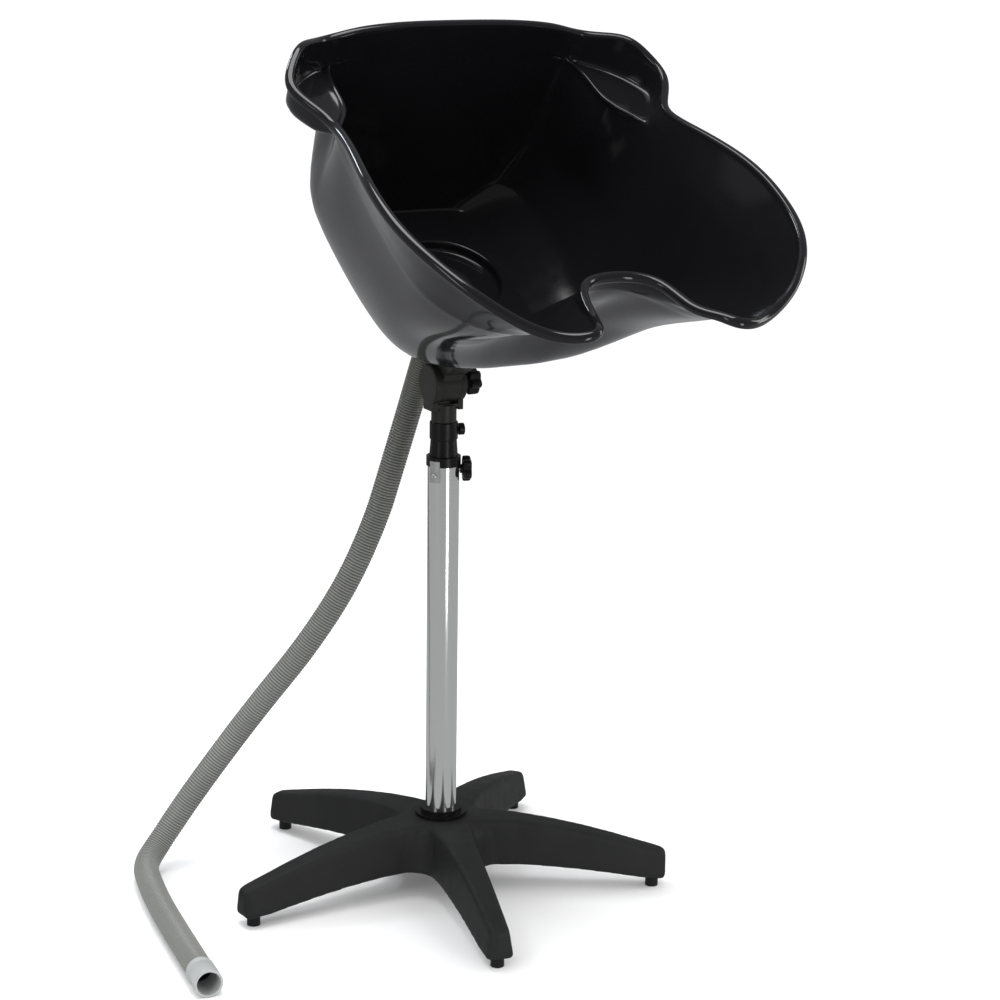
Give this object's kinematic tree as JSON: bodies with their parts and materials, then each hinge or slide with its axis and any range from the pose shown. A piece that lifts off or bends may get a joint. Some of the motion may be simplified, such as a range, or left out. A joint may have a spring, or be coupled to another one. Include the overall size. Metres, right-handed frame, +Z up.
{
  "type": "shampoo backwash unit",
  "caption": "Free-standing tilting shampoo backwash basin on a height-adjustable chrome column with a five-arm base and a corrugated drain hose.",
  "frame": {"origin": "on the floor, on the axis of the column, at the centre of the circle of five feet", "axes": "+Z up the column, the basin faces -Y, the tilt axis runs along +X"},
  "size_m": [0.6499, 0.7668, 1.0607],
  "materials": {
    "base_nylon": "fine-textured charcoal nylon",
    "foot_plastic": "black moulded glide",
    "black_plastic": "satin black moulding",
    "knob_plastic": "satin black moulding",
    "head_plastic": "satin dark grey moulding",
    "chrome_tube": "bright chrome plate",
    "chrome_drain": "bright chrome plate",
    "steel_hardware": "zinc-plated steel",
    "steel_tab": "satin steel",
    "black_tube": "satin black paint",
    "basin_gloss": "high-gloss black moulding",
    "seal_rubber": "matte black rubber",
    "hose_grey": "corrugated grey hose",
    "hose_cuff": "smooth grey cuff"
  },
  "bodies": {
    "stand": {"base_star": "base_nylon", "foot_glides": "foot_plastic", "hub_collar": "black_plastic", "outer_tube": "chrome_tube", "column_plug": "steel_hardware", "column_washer": "steel_hardware", "column_bolt": "steel_hardware", "guide_bush": "black_plastic", "lock_tab": "steel_tab", "lock_tab_screw": "steel_hardware"},
    "height_clamp": {"height_knob": "knob_plastic", "height_knob_stud": "steel_hardware"},
    "swivel": {"thrust_collar": "black_plastic", "hose_lower": "hose_grey", "hose_end_cuff": "hose_cuff"},
    "column": {"inner_tube": "black_tube", "inner_tube_glide": "black_plastic", "stop_ring": "black_plastic", "tilt_fork": "head_plastic", "tilt_bolt": "steel_hardware", "tilt_washer": "steel_hardware", "hose_upper": "hose_grey"},
    "stop_screw": {"stop_ring_screw": "knob_plastic"},
    "tilt_clamp": {"tilt_knob": "knob_plastic"},
    "basin": {"tilt_bracket": "head_plastic", "bracket_screws": "steel_hardware", "basin_bowl": "basin_gloss", "drain_flange": "chrome_drain", "drain_strainer": "chrome_drain", "drain_gasket": "seal_rubber", "drain_nut": "black_plastic", "trap_seal": "seal_rubber", "trap_cup": "head_plastic"}
  },
  "joints": [
    {"name": "column_swivel", "type": "hinge", "parent": "stand", "child": "swivel", "pos_m": [0, 0, 0.55], "axis": [0, 0, 1], "range_deg": [-60, 60]},
    {"name": "height_slide", "type": "slide", "parent": "swivel", "child": "column", "axis": [0, 0, 1], "range_m": [0, 0.33], "deforming": ["hose_upper", "hose_lower", "hose_end_cuff"]},
    {"name": "basin_tilt", "type": "hinge", "parent": "column", "child": "basin", "pos_m": [0, 0, 0.632], "axis": [1, 0, 0], "range_deg": [-30, 15]},
    {"name": "tilt_knob_turn", "type": "hinge", "parent": "column", "child": "tilt_clamp", "pos_m": [0.035, 0, 0.632], "axis": [1, 0, 0], "continuous": true},
    {"name": "height_knob_turn", "type": "hinge", "parent": "stand", "child": "height_clamp", "pos_m": [0.02631, -0.00958, 0.527], "axis": [0.9397, -0.342, 0], "continuous": true},
    {"name": "stop_screw_turn", "type": "hinge", "parent": "column", "child": "stop_screw", "pos_m": [0.02167, -0.00382, 0.57525], "axis": [0.9848, -0.1736, 0], "continuous": true}
  ]
}
